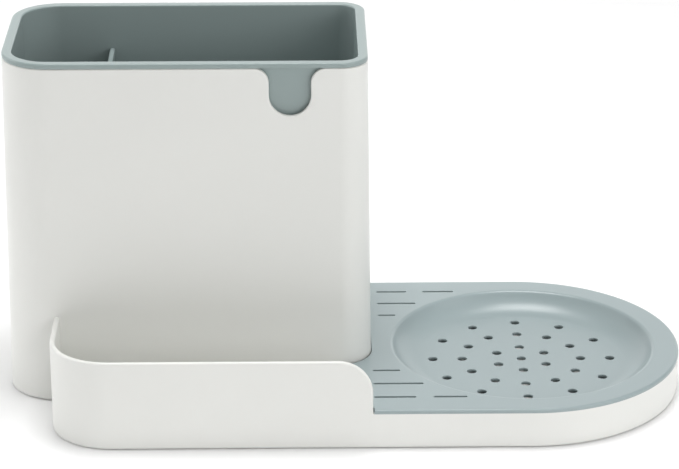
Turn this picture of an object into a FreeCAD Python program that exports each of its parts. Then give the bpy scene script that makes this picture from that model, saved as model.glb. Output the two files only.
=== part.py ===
import FreeCAD, Part
import math
import os
import Sketcher

# Kitchen sink caddy in millimetres. X runs along it towards the round dish, Y to the back, Z up, with the
# origin on the counter under the middle of the whole. A white body holds a lift-out liner with a loose
# divider and carries a lift-off drip tray with a round dish. Six soft feet keep it off the counter.

SIZES = {
    # sleeve, the tall part of the body: lengths at its foot, corner radii at its top
    "tower_length": 154.1,
    "tower_side_draft": 2.0,
    "tower_left_radius": 20.0,
    "tower_right_radius": 11.5,
    "sleeve_wall": 2.0,
    "notch_width": 17.1,
    "notch_depth": 20.2,
    "notch_flare": 6.3,
    "notch_inset": 33.9,
    # heights above the counter
    "rim_height": 149.1,
    "bay_wall_height": 38.7,
    "low_wall_height": 15.5,
    "foot_stand": 0.3,
    # base and sponge bay
    "floor_thickness": 2.4,
    "base_wall": 2.2,
    "bay_depth": 46.9,
    "bay_inset": 21.0,
    "bay_corner_radius": 25.0,
    "step_inset": 0.8,
    "step_radius": 14.2,
    "bottom_edge_radius": 1.0,
    "wall_edge_radius": 1.0,
    "rest_thickness": 1.6,
    "rest_reach": 5.0,
    # liner and divider
    "rim_thickness": 2.2,
    "rim_edge_radius": 0.7,
    "liner_clearance": 0.4,
    "liner_wall": 1.7,
    "liner_floor": 1.8,
    "liner_draft": 1.5,
    "liner_gap_below": 2.5,
    "liner_bottom_radius": 3.0,
    "liner_hole_diameter": 5.0,
    "divider_offset": 37.2,
    "divider_thickness": 2.2,
    "divider_drop": 19.0,
    "divider_clearance": 0.3,
    "guide_thickness": 1.4,
    "guide_depth": 2.0,
    "guide_drop": 12.0,
    # drip tray
    "tray_thickness": 1.75,
    "tray_clearance": 0.5,
    "tower_gap": 0.3,
    "tower_front_gap": 2.6,
    "tower_room_radius": 15.0,
    "tray_edge_radius": 0.6,
    "skirt_thickness": 1.4,
    "skirt_depth": 3.5,
    "dish_gap": 7.8,
    "dish_radius": 56.8,
    "dish_margin": 9.9,
    "dish_depth": 7.7,
    "dish_slope_length": 1.0,
    "dish_under_radius": 0.35,
    "hole_diameter": 4.0,
    "outer_ring_margin": 5.3,
    "slot_width": 1.5,
    "slot_edge_gap": 12.1,
    "slot_row_step": 12.95,
    "slot_row_shift": 0.6,
    "slot_back_start": 3.6,
    "slot_front_start": 0.6,
    "slot_gap": 7.0,
    "first_row_stop": 11.5,
    "middle_row_stop": 20.8,
    "last_row_stop": 17.2,
    "last_slot_length": 14.0,
    # feet
    "foot_diameter": 12.0,
    "foot_recess": 1.2,
    "foot_clearance": 0.1,
    "foot_edge_radius": 0.4,
    "foot_inset": 18.0,
}
INNER_RING_HOLES = 6
OUTER_RING_HOLES = 12
INNER_RING_SHARE = 0.3079
MIDDLE_RING_SHARE = 0.66842
LINER_HOLE_COLUMNS = 4
LINER_HOLE_ROWS = 2
DISH_SLOPE = 56
QUARTER = 90
FULL_TURN = 360
TOP = 1
FOOT = 0
TOLERANCE = 1e-4

doc = FreeCAD.newDocument("sink_caddy")
sheet = doc.addObject("Spreadsheet::Sheet", "sizes")
for row, (alias, number) in enumerate(SIZES.items(), 1):
    sheet.set(f"A{row}", alias.replace("_", " "))
    sheet.set(f"B{row}", str(number))
    sheet.setAlias(f"B{row}", alias)
doc.recompute()


class Size:
    """A length that carries both its number and the sheet formula behind it."""

    def __init__(self, formula, value):
        self.formula = formula
        self.value = value

    def joined(self, sign, other, value):
        return Size(f"({self.formula} {sign} {other.formula})", value)

    def __add__(self, other):
        other = as_size(other)
        return self.joined("+", other, self.value + other.value)

    def __sub__(self, other):
        other = as_size(other)
        return self.joined("-", other, self.value - other.value)

    def __mul__(self, other):
        other = as_size(other)
        return self.joined("*", other, self.value * other.value)

    def __truediv__(self, other):
        other = as_size(other)
        return self.joined("/", other, self.value / other.value)

    def __neg__(self):
        return Size(f"(0 - {self.formula})", -self.value)

    def root(self):
        return Size(f"sqrt({self.formula})", math.sqrt(self.value))


def as_size(number):
    return number if isinstance(number, Size) else Size(str(number), float(number))


def size(alias):
    return Size(f"sizes.{alias}", float(sheet.get(alias)))


class Corner:
    """A sharp turn of an outline."""

    def __init__(self, x, y):
        self.x = as_size(x)
        self.y = as_size(y)

    def ends(self):
        point = FreeCAD.Vector(self.x.value, self.y.value, 0)
        return point, point


class Round:
    """A turn of an outline along an arc, from one angle in degrees to another about its centre."""

    def __init__(self, x, y, radius, start, stop):
        self.x = as_size(x)
        self.y = as_size(y)
        self.radius = radius
        self.angles = [math.radians(start), math.radians(stop)]
        self.first, self.last = (1, 2) if stop > start else (2, 1)

    def ends(self):
        return [self.at(angle) for angle in self.angles]

    def at(self, angle):
        across = self.radius.value * math.cos(angle)
        up = self.radius.value * math.sin(angle)
        return FreeCAD.Vector(self.x.value + across, self.y.value + up, 0)


# Layout, from the counter up and from the tower outwards
end_radius = size("dish_radius") + size("dish_margin")
slope_across = math.cos(math.radians(DISH_SLOPE))
slope_up = math.sin(math.radians(DISH_SLOPE))
dish_brim = size("tray_thickness") + size("dish_under_radius")
dish_curve = (size("dish_depth") - size("dish_slope_length") * slope_up) / (1 - slope_across)
dish_bend = dish_curve - dish_brim
dish_floor_radius = size("dish_radius") - dish_curve * slope_up - size("dish_slope_length") * slope_across
length = size("tower_length") + size("dish_gap") + size("dish_radius") + end_radius
tower_left = -(length / 2)
tower_right = tower_left + size("tower_length")
back = end_radius
front = -end_radius
tower_front = front + size("bay_depth")
dish_x = length / 2 - end_radius
bay_left = tower_left + size("bay_inset")
step_x = tower_right - size("step_inset")
foot_right_radius = size("tower_right_radius") + size("tower_side_draft")
end_left = tower_right - foot_right_radius
floor_top = size("foot_stand") + size("floor_thickness")
sleeve_top = size("rim_height") - size("rim_thickness")
tray_top = size("low_wall_height") + size("tray_thickness")
liner_bottom = floor_top + size("liner_gap_below")
liner_floor_top = liner_bottom + size("liner_floor")
liner_inset = size("sleeve_wall") + size("liner_clearance")
cavity_inset = liner_inset + size("liner_wall")
divider_x = tower_left + size("tower_side_draft") + cavity_inset + size("divider_offset")
divider_top = size("rim_height") - size("divider_drop")


def new_body(name):
    body = doc.addObject("PartDesign::Body", name)
    body.Label = name
    return body


def new_sketch(body, name, role, x=0, y=0, z=0):
    """A sketch on one of the body's own origin planes, moved by a bound offset."""
    sketch = body.newObject("Sketcher::SketchObject", name)
    plane = next(feature for feature in body.Origin.OriginFeatures if feature.Role == role)
    sketch.AttachmentSupport = [(plane, "")]
    sketch.MapMode = "FlatFace"
    for axis, offset in zip("xyz", (x, y, z)):
        sketch.setExpression(f"AttachmentOffset.Base.{axis}", as_size(offset).formula)
    return sketch


def bind(sketch, kind, places, length_to_hold):
    """Adds one driving constraint and ties it to its formula."""
    index = sketch.addConstraint(Sketcher.Constraint(kind, *places, length_to_hold.value))
    sketch.setExpression(f"Constraints[{index}]", length_to_hold.formula)


def bind_point(sketch, edge, vertex, x, y):
    """Holds a point of the sketch at its place from the sketch's origin."""
    for kind, axis, place in (("DistanceX", -2, x), ("DistanceY", -1, y)):
        if place.value == 0:
            sketch.addConstraint(Sketcher.Constraint("PointOnObject", edge, vertex, axis))
        else:
            bind(sketch, kind, (-1, 1, edge, vertex), place)


def draw_outline(sketch, turns):
    """A closed outline of straight edges through sharp corners and tangent arcs."""
    up = FreeCAD.Vector(0, 0, 1)
    arcs = {}
    for turn in turns:
        if isinstance(turn, Round):
            circle = Part.Circle(FreeCAD.Vector(turn.x.value, turn.y.value, 0), up, turn.radius.value)
            arcs[turn] = sketch.addGeometry(Part.ArcOfCircle(circle, min(turn.angles), max(turn.angles)))
            bind_point(sketch, arcs[turn], 3, turn.x, turn.y)
            bind(sketch, "Radius", (arcs[turn],), turn.radius)
    lines = []
    for turn, following in zip(turns, turns[1:] + turns[:1]):
        lines.append(sketch.addGeometry(Part.LineSegment(turn.ends()[1], following.ends()[0])))
    for turn, before, after in zip(turns, lines[-1:] + lines[:-1], lines):
        if isinstance(turn, Round):
            sketch.addConstraint(Sketcher.Constraint("Tangent", before, 2, arcs[turn], turn.first))
            sketch.addConstraint(Sketcher.Constraint("Tangent", arcs[turn], turn.last, after, 1))
        else:
            sketch.addConstraint(Sketcher.Constraint("Coincident", before, 2, after, 1))
            bind_point(sketch, after, 1, turn.x, turn.y)


def draw_circle(sketch, x, y, diameter):
    x, y = as_size(x), as_size(y)
    centre = FreeCAD.Vector(x.value, y.value, 0)
    circle = sketch.addGeometry(Part.Circle(centre, FreeCAD.Vector(0, 0, 1), diameter.value / 2))
    bind_point(sketch, circle, 3, x, y)
    bind(sketch, "Diameter", (circle,), diameter)


def box_turns(x_low, x_high, y_low, y_high):
    return [Corner(x_low, y_low), Corner(x_high, y_low), Corner(x_high, y_high), Corner(x_low, y_high)]


def feature(body, kind, name, sketch, **settings):
    made = body.newObject(f"PartDesign::{kind}", name)
    made.Profile = sketch
    for setting, value in settings.items():
        if isinstance(value, Size):
            made.setExpression(setting, value.formula)
        else:
            setattr(made, setting, value)
    return made


def cut(body, kind, name, sketch, **settings):
    """A feature that has to take material away."""
    doc.recompute()
    before = body.Shape.Volume
    made = feature(body, kind, name, sketch, **settings)
    doc.recompute()
    if body.Shape.Volume >= before:
        raise RuntimeError(f"{name} takes nothing away")
    return made


def around(body, name, hole, axis_sketch, count):
    """Repeats a hole round the sketch's own origin."""
    pattern = body.newObject("PartDesign::PolarPattern", name)
    pattern.Originals = [hole]
    pattern.Axis = (axis_sketch, ["N_Axis"])
    pattern.Angle = FULL_TURN
    pattern.Occurrences = count
    body.Tip = pattern


def rounded(body, name, radius, chosen):
    """Rounds the edges of the body that the test chooses."""
    doc.recompute()
    base = body.Tip
    edges = [f"Edge{n}" for n, edge in enumerate(base.Shape.Edges, 1) if chosen(edge)]
    made = body.newObject("PartDesign::Fillet", name)
    made.Base = (base, edges)
    made.setExpression("Radius", radius.formula)


def near(a, b):
    return abs(a - b) < TOLERANCE


def level(edge, height):
    """Whether the edge lies in the horizontal plane at that height."""
    return near(edge.BoundBox.ZMin, height.value) and near(edge.BoundBox.ZMax, height.value)


def tower_turns(inset, place):
    """The tower's outline, inset from its outer face, at the foot or at the top. Its back stands plumb."""
    draft = size("tower_side_draft") * place
    left_radius = size("tower_left_radius") + size("tower_side_draft") * (1 - place) - inset
    right_radius = size("tower_right_radius") + size("tower_side_draft") * (1 - place) - inset
    low_x, high_x = tower_left + draft + inset, tower_right - draft - inset
    low_y, high_y = tower_front + draft + inset, back - inset
    return [
        Round(low_x + left_radius, low_y + left_radius, left_radius, 2 * QUARTER, 3 * QUARTER),
        Round(high_x - right_radius, low_y + right_radius, right_radius, -QUARTER, 0),
        Round(high_x - right_radius, high_y - right_radius, right_radius, 0, QUARTER),
        Round(low_x + left_radius, high_y - left_radius, left_radius, QUARTER, 2 * QUARTER),
    ]


def tower_sketch(body, name, inset, place, height):
    sketch = new_sketch(body, name, "XY_Plane", z=height)
    draw_outline(sketch, tower_turns(as_size(inset), place))
    return sketch


def end_turns(x_left, inset):
    """The tray end: straight sides from the tower to a half round about the dish."""
    radius = end_radius - inset
    return [Corner(x_left, -radius), Round(dish_x, 0, radius, -QUARTER, QUARTER), Corner(x_left, radius)]


def bay_turns(x_right, y_back, inset):
    """The sponge bay, with its round front left corner."""
    radius = size("bay_corner_radius") - inset
    centre_x = bay_left + size("bay_corner_radius")
    centre_y = front + size("bay_corner_radius")
    return [
        Round(centre_x, centre_y, radius, 2 * QUARTER, 3 * QUARTER),
        Corner(x_right, front + inset),
        Corner(x_right, y_back),
        Corner(bay_left + inset, y_back),
    ]


def foot_places():
    """Where the feet stand, by name."""
    inset = size("foot_inset")
    spread = (end_radius - inset) / as_size(2).root()
    return {
        "back_left": (tower_left + inset, back - inset),
        "front_left": (bay_left + inset, front + inset),
        "back_middle": (tower_right, back - inset),
        "front_middle": (tower_right, front + inset),
        "right_back": (dish_x + spread, spread),
        "right_front": (dish_x + spread, -spread),
    }


def rest_boxes():
    """The upright ribs that the tray lies on behind the step and beside the tower, as spans in X and Y."""
    half = size("rest_thickness") / 2
    wall = size("base_wall")
    reach = size("rest_reach")
    in_sleeve = size("sleeve_wall") / 2
    x = end_left + size("rest_thickness")
    return [
        (tower_right - in_sleeve, tower_right + reach, -half, half),
        (x - half, x + half, front + wall / 2, front + wall + reach),
        (x - half, x + half, tower_front - size("tower_front_gap") - reach, tower_front + in_sleeve),
    ]


def make_body():
    body = new_body("caddy_body")
    wall = size("base_wall")
    bottom = size("foot_stand")
    low_top = size("low_wall_height")
    bay_top = size("bay_wall_height")
    inside_tower = tower_front + size("sleeve_wall") * 2

    sketch = new_sketch(body, "tray_end_outline", "XY_Plane", z=bottom)
    draw_outline(sketch, end_turns(end_left, as_size(0)))
    feature(body, "Pad", "tray_end", sketch, Length=low_top - bottom)
    sketch = new_sketch(body, "bay_outline", "XY_Plane", z=bottom)
    draw_outline(sketch, bay_turns(step_x, inside_tower, as_size(0)))
    feature(body, "Pad", "bay", sketch, Length=bay_top - bottom)
    rounded(body, "step", size("step_radius"), is_step_edge)

    sketch = new_sketch(body, "pan_outline", "XY_Plane", z=low_top)
    draw_outline(sketch, end_turns(end_left, wall))
    cut(body, "Pocket", "pan", sketch, Length=low_top - floor_top)
    sketch = new_sketch(body, "bay_hollow_outline", "XY_Plane", z=bay_top)
    draw_outline(sketch, bay_turns(tower_right, inside_tower, wall))
    cut(body, "Pocket", "bay_hollow", sketch, Length=bay_top - floor_top)

    foot_sketch = tower_sketch(body, "tower_foot", 0, FOOT, bottom)
    top_sketch = tower_sketch(body, "tower_top", 0, TOP, sleeve_top)
    feature(body, "AdditiveLoft", "tower", foot_sketch, Sections=[top_sketch], Ruled=True)
    low_sketch = tower_sketch(body, "hollow_foot", size("sleeve_wall"), FOOT, floor_top)
    high_sketch = tower_sketch(body, "hollow_top", size("sleeve_wall"), TOP, sleeve_top)
    cut(body, "SubtractiveLoft", "tower_hollow", low_sketch, Sections=[high_sketch], Ruled=True)

    rounded(body, "bottom_edge", size("bottom_edge_radius"), lambda e: level(e, bottom))
    cut_notch(body)

    sketch = new_sketch(body, "rest_outlines", "XY_Plane", z=floor_top)
    for box in rest_boxes():
        draw_outline(sketch, box_turns(*box))
    feature(body, "Pad", "rests", sketch, Length=low_top - floor_top)
    sketch = new_sketch(body, "foot_recess_outlines", "XY_Plane", z=bottom)
    for x, y in foot_places().values():
        draw_circle(sketch, x, y, size("foot_diameter") + size("foot_clearance") * 2)
    cut(body, "Pocket", "foot_recesses", sketch, Length=size("foot_recess"), Reversed=True)
    rounded(body, "wall_edge", size("wall_edge_radius"), is_bay_wall_edge)
    return body


def is_step_edge(edge):
    """The top edge of the bay where it ends at the low wall."""
    return level(edge, size("bay_wall_height")) and near(edge.BoundBox.XMin, step_x.value)


def is_bay_wall_edge(edge):
    """The edges along the bay wall's flat top, without the short ones across it."""
    return level(edge, size("bay_wall_height")) and edge.Length > size("base_wall").value * 2


def cut_notch(body):
    """The finger notch: straight sides, a half round foot and flared upper corners."""
    half = size("notch_width") / 2
    flare = size("notch_flare")
    middle = tower_right - size("notch_inset")
    round_height = sleeve_top - size("notch_depth") + half
    flare_height = sleeve_top - flare
    sketch = new_sketch(body, "notch_outline", "XZ_Plane", z=-tower_front)
    draw_outline(sketch, [
        Round(middle - half - flare, flare_height, flare, QUARTER, 0),
        Round(middle, round_height, half, 2 * QUARTER, 4 * QUARTER),
        Round(middle + half + flare, flare_height, flare, 2 * QUARTER, QUARTER),
    ])
    cut(body, "Pocket", "notch", sketch, Length=size("tower_side_draft") + size("sleeve_wall") * 2)


def liner_wall_inset(height):
    """How far the liner's inner face stands in from the tower's top outline at some height."""
    share = (size("rim_height") - height) / (size("rim_height") - liner_floor_top)
    return cavity_inset + size("liner_draft") * share


def guide_turns(wall_sign, wall_line):
    """One divider guide on the front or the back wall, leaning with the wall."""
    top = divider_top - size("guide_drop")
    turns = []
    for depth, heights in ((-(size("liner_wall") / 2), (liner_floor_top, top)),
                           (size("guide_depth"), (top, liner_floor_top))):
        for height in heights:
            turns.append(Corner(wall_line + (liner_wall_inset(height) + depth) * wall_sign, height))
    return turns


def make_liner():
    body = new_body("liner")
    draft = size("liner_draft")
    top_y = tower_front + size("tower_side_draft")
    low = tower_sketch(body, "outside_foot", liner_inset + draft, TOP, liner_bottom)
    high = tower_sketch(body, "outside_top", liner_inset, TOP, sleeve_top)
    feature(body, "AdditiveLoft", "bin", low, Sections=[high], Ruled=True)
    rounded(body, "bin_bottom_edge", size("liner_bottom_radius"), lambda e: level(e, liner_bottom))
    rim = tower_sketch(body, "rim_outline", 0, TOP, sleeve_top)
    feature(body, "Pad", "rim", rim, Length=size("rim_thickness"))
    low = tower_sketch(body, "inside_foot", cavity_inset + draft, TOP, liner_floor_top)
    high = tower_sketch(body, "inside_top", cavity_inset, TOP, size("rim_height"))
    cut(body, "SubtractiveLoft", "bin_hollow", low, Sections=[high], Ruled=True)
    rounded(body, "rim_edge", size("rim_edge_radius"), lambda e: level(e, size("rim_height")))

    guide_shift = (size("divider_thickness") + size("guide_thickness")) / 2 + size("divider_clearance")
    for name, shift in (("left", -guide_shift), ("right", guide_shift)):
        sketch = new_sketch(body, f"{name}_guides", "YZ_Plane", z=divider_x + shift)
        draw_outline(sketch, guide_turns(1, top_y))
        draw_outline(sketch, guide_turns(-1, back))
        feature(body, "Pad", f"{name}_guide", sketch, Length=size("guide_thickness"), Midplane=True)

    sketch = new_sketch(body, "drain_hole_outlines", "XY_Plane", z=liner_floor_top)
    room_left = divider_x
    room_right = tower_right - size("tower_side_draft") - cavity_inset
    room_depth = back - cavity_inset * 2 - top_y
    for column in range(LINER_HOLE_COLUMNS):
        for row_number in range(LINER_HOLE_ROWS):
            x = room_left + (room_right - room_left) * (column + 0.5) / LINER_HOLE_COLUMNS
            y = top_y + cavity_inset + room_depth * (row_number + 0.5) / LINER_HOLE_ROWS
            draw_circle(sketch, x, y, size("liner_hole_diameter"))
    cut(body, "Pocket", "drain_holes", sketch, Length=size("liner_floor"))
    return body


def make_divider():
    body = new_body("divider")
    top_y = tower_front + size("tower_side_draft")
    turns = []
    for sign, wall_line, heights in ((1, top_y, (divider_top, liner_floor_top)),
                                     (-1, back, (liner_floor_top, divider_top))):
        for height in heights:
            inset = liner_wall_inset(height) + size("divider_clearance")
            turns.append(Corner(wall_line + inset * sign, height))
    sketch = new_sketch(body, "panel_outline", "YZ_Plane", z=divider_x)
    draw_outline(sketch, turns)
    feature(body, "Pad", "panel", sketch, Length=size("divider_thickness"), Midplane=True)
    return body


def tray_turns():
    """The plate: flush with the low wall, with a short tongue behind the step and a blunt tip by the tower."""
    gap = size("tray_clearance")
    tongue_front = front + size("base_wall") + gap
    behind = foot_right_radius + size("tower_gap")
    tip_width = size("base_wall") + gap
    rise = foot_right_radius - tip_width
    tip_x = end_left + (behind * behind - rise * rise).root()
    inside_tower = tower_front + foot_right_radius
    return [
        Corner(end_left, tongue_front),
        Corner(step_x + gap, tongue_front),
        Corner(step_x + gap, front),
        Round(dish_x, 0, end_radius, -QUARTER, QUARTER),
        Corner(tip_x, back),
        Corner(tip_x, inside_tower),
        Corner(end_left, inside_tower),
    ]


def tower_room_turns():
    """The room in the plate for the tower's foot, close at the side and wider in front of it."""
    gap = size("tower_gap")
    radius = size("tower_room_radius")
    low_y = tower_front - size("tower_front_gap")
    return [
        Corner(tower_left, low_y),
        Round(tower_right + gap - radius, low_y + radius, radius, -QUARTER, 0),
        Round(end_left, back - foot_right_radius, foot_right_radius + gap, 0, QUARTER),
        Corner(tower_left, back + gap),
    ]


def add_bowl(body):
    """The dish: a flat floor, a hollow bend, a slope and a rounded brim, all as thick as the plate."""
    gauge = size("tray_thickness")
    floor_z = tray_top - size("dish_depth")
    bend_centre = (dish_floor_radius, floor_z + dish_bend)
    brim_centre = (size("dish_radius"), tray_top - dish_brim)
    outside = size("dish_radius") + gauge
    sketch = new_sketch(body, "bowl_section", "XZ_Plane", x=dish_x)
    draw_outline(sketch, [
        Corner(0, floor_z - gauge),
        Round(*bend_centre, dish_bend + gauge, -QUARTER, DISH_SLOPE - QUARTER),
        Round(*brim_centre, size("dish_under_radius"), DISH_SLOPE + QUARTER, QUARTER),
        Corner(outside, tray_top - gauge),
        Corner(outside, tray_top),
        Round(*brim_centre, dish_brim, QUARTER, DISH_SLOPE + QUARTER),
        Round(*bend_centre, dish_bend, DISH_SLOPE - QUARTER, -QUARTER),
        Corner(0, floor_z),
    ])
    feature(body, "Revolution", "bowl", sketch, ReferenceAxis=(sketch, ["V_Axis"]), Angle=FULL_TURN)


def slot_spans():
    """Every drain slot in the plate as its start, its end and its row."""
    step = size("slot_row_step")
    shift = size("slot_row_shift")
    last_row = end_radius - size("slot_edge_gap")
    stops = {
        last_row - step * 2: size("first_row_stop"),
        last_row - step: size("middle_row_stop"),
        last_row: size("last_row_stop"),
    }
    spans = []
    starts = {1: tower_right + size("slot_back_start"), -1: step_x + size("slot_front_start")}
    for side, start in starts.items():
        for row_y, stop in stops.items():
            spans.append((start, tower_right + stop, row_y * side + shift))
        last_start = tower_right + size("last_row_stop") + size("slot_gap")
        spans.append((last_start, last_start + size("last_slot_length"), last_row * side + shift))
    return spans


def make_tray():
    body = new_body("drip_tray")
    low = size("low_wall_height")
    gauge = size("tray_thickness")
    sketch = new_sketch(body, "plate_outline", "XY_Plane", z=low)
    draw_outline(sketch, tray_turns())
    feature(body, "Pad", "plate", sketch, Length=gauge)
    sketch = new_sketch(body, "tower_room", "XY_Plane", z=tray_top)
    draw_outline(sketch, tower_room_turns())
    cut(body, "Pocket", "tower_cut", sketch, Length=gauge)
    rounded(body, "plate_edge", size("tray_edge_radius"), lambda e: level(e, tray_top))
    sketch = new_sketch(body, "dish_outline", "XY_Plane", x=dish_x, z=tray_top)
    draw_circle(sketch, 0, 0, size("dish_radius") * 2)
    cut(body, "Pocket", "dish_cut", sketch, Length=gauge)
    add_bowl(body)

    inset = size("base_wall") + size("tray_clearance")
    inner = inset + size("skirt_thickness")
    leg_end = step_x + size("tray_clearance") + size("skirt_thickness")
    sketch = new_sketch(body, "skirt_outline", "XY_Plane", z=low)
    outer_radius = end_radius - inset
    inner_radius = end_radius - inner
    draw_outline(sketch, [
        Corner(leg_end, -outer_radius),
        Round(dish_x, 0, outer_radius, -QUARTER, QUARTER),
        Corner(leg_end, outer_radius),
        Corner(leg_end, inner_radius),
        Round(dish_x, 0, inner_radius, QUARTER, -QUARTER),
        Corner(leg_end, -inner_radius),
    ])
    feature(body, "Pad", "skirt", sketch, Length=size("skirt_depth"), Reversed=True)

    cut_drains(body)
    half = size("slot_width") / 2
    sketch = new_sketch(body, "slot_outlines", "XY_Plane", z=tray_top)
    for start, stop, y in slot_spans():
        draw_outline(sketch, [
            Round(start + half, y, half, QUARTER, 3 * QUARTER),
            Round(stop - half, y, half, -QUARTER, QUARTER),
        ])
    cut(body, "Pocket", "slots", sketch, Length=gauge)
    return body


def cut_drains(body):
    """The dish's drain holes: one in the middle and three rings, the inner ring turned by half a step."""
    floor_z = tray_top - size("dish_depth")
    depth = size("tray_thickness") * 2
    outer_ring = dish_floor_radius - size("outer_ring_margin")
    rings = [
        ("inner", 0, outer_ring * INNER_RING_SHARE, INNER_RING_HOLES),
        ("middle", outer_ring * MIDDLE_RING_SHARE, 0, OUTER_RING_HOLES),
        ("outer", outer_ring, 0, OUTER_RING_HOLES),
    ]
    for name, x, y, count in rings:
        sketch = new_sketch(body, f"{name}_hole", "XY_Plane", x=dish_x, z=floor_z)
        draw_circle(sketch, x, y, size("hole_diameter"))
        hole = cut(body, "Pocket", f"{name}_drain", sketch, Length=depth)
        around(body, f"{name}_drains", hole, sketch, count)
    sketch = new_sketch(body, "centre_hole", "XY_Plane", x=dish_x, z=floor_z)
    draw_circle(sketch, 0, 0, size("hole_diameter"))
    cut(body, "Pocket", "centre_drain", sketch, Length=depth)


def make_foot(name, x, y):
    """A soft round pad in its recess under the floor."""
    body = new_body(f"foot_{name}")
    radius = size("foot_diameter") / 2
    edge = size("foot_edge_radius")
    top = size("foot_stand") + size("foot_recess")
    sketch = new_sketch(body, "pad_section", "XZ_Plane")
    draw_outline(sketch, [
        Corner(0, 0),
        Round(radius - edge, edge, edge, -QUARTER, 0),
        Corner(radius, top),
        Corner(0, top),
    ])
    feature(body, "Revolution", "pad", sketch, ReferenceAxis=(sketch, ["V_Axis"]), Angle=FULL_TURN)
    body.setExpression("Placement.Base.x", x.formula)
    body.setExpression("Placement.Base.y", y.formula)
    return body


def check(pieces):
    """Stops unless everything in the document came out whole."""
    for item in doc.Objects:
        if {"Invalid", "Error"} & set(item.State):
            raise RuntimeError(f"{item.Name} failed: {item.State}")
    for piece in pieces:
        if piece.Shape.isNull() or not piece.Shape.isValid() or len(piece.Shape.Solids) != 1:
            raise RuntimeError(f"{piece.Label} is not one whole solid")


pieces = [make_body(), make_liner(), make_divider(), make_tray()]
for foot_name, (foot_x, foot_y) in foot_places().items():
    pieces.append(make_foot(foot_name, foot_x, foot_y))
doc.recompute()
check(pieces)
os.makedirs("parts", exist_ok=True)
for piece in pieces:
    piece.Shape.exportStep(os.path.join("parts", f"{piece.Label}.step"))
    print(piece.Label, round(piece.Shape.Volume), piece.Shape.BoundBox)
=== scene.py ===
import math

import bmesh
import bpy
from bpy.props import FloatProperty, FloatVectorProperty, PointerProperty
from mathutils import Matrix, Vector


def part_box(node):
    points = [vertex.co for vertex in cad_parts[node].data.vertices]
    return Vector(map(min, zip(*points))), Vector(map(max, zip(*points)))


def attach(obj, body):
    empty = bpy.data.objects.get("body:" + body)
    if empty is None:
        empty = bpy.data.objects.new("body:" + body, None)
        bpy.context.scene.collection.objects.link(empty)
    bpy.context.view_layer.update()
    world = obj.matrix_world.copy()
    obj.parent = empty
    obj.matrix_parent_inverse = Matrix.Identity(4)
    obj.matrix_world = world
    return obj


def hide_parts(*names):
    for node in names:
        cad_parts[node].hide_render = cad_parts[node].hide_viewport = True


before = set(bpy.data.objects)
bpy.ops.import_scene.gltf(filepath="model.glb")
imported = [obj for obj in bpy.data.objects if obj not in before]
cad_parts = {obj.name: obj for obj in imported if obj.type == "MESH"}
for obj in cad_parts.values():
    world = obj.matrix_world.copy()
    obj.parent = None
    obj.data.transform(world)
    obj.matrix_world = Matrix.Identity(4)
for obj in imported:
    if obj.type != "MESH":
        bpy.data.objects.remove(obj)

bl_info = {
    "name": "Sink Caddy",
    "version": (1, 0, 0),
    "blender": (4, 5, 0),
    "location": "3D View > Sidebar > Sink Caddy",
    "description": "Models the pieces of a kitchen sink caddy around its solids",
    "category": "Object",
}

MM = 0.001

# How near two points or levels are that count as one, and how far a cutter reaches past what it cuts
TOUCH = 0.00001
MERGE = 0.000002
OVERSHOOT = 0.02

# Edges that are shaded smooth, that are sharp enough to soften, and that cross a flat face
SMOOTH_ANGLE = math.radians(32)
SHARP_ANGLE = math.radians(40)
FLAT_ANGLE = math.radians(0.2)
NORMAL_WEIGHT = 80

# How many faces run round a softened edge
BROAD, MEDIUM, NARROW, FINE = 5, 4, 3, 2

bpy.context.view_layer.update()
BODY_LOW, BODY_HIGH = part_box("caddy_body")
LINER_LOW, LINER_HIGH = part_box("liner")
DIVIDER_LOW, DIVIDER_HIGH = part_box("divider")
TRAY_LOW, TRAY_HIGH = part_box("drip_tray")
FEET = sorted(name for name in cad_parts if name.startswith("foot_"))


def length(label, metres, about):
    """A size in metres that the sidebar shows as a length."""
    return FloatProperty(name=label, description=about, default=metres, min=0.0, unit="LENGTH", precision=4)


def share(label, value, about):
    """A plain factor between nothing and all."""
    return FloatProperty(name=label, description=about, default=value, min=0.0, max=1.0, subtype="FACTOR")


def colour(label, value, about):
    """A linear colour with its swatch."""
    return FloatVectorProperty(name=label, description=about, default=value, size=3, min=0.0, max=1.0,
                               subtype="COLOR")


class SleeveSizes(bpy.types.PropertyGroup):
    """The tall part of the body."""

    draft: length("Draft", 2.0 * MM, "How far the front and the sides lean in from foot to top")
    left_radius: length("Left corners", 20.0 * MM, "Radius of the left corners at the top")
    right_radius: length("Right corners", 11.5 * MM, "Radius of the right corners at the top")
    wall: length("Wall", 2.0 * MM, "Thickness of the sleeve's wall")
    notch_width: length("Notch width", 17.1 * MM, "Width of the finger notch")
    notch_depth: length("Notch depth", 20.2 * MM, "Depth of the finger notch below the sleeve's top")
    notch_flare: length("Notch flare", 6.3 * MM, "Radius of the notch's upper corners")
    notch_crest: length("Notch crest", 0.03 * MM, "How far above the sleeve's top the notch's flare ends")
    notch_inset: length("Notch inset", 33.9 * MM, "From the sleeve's right foot to the notch's middle")
    edge: length("Edge", 0.6 * MM, "Radius on the notch and the top edge")


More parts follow.
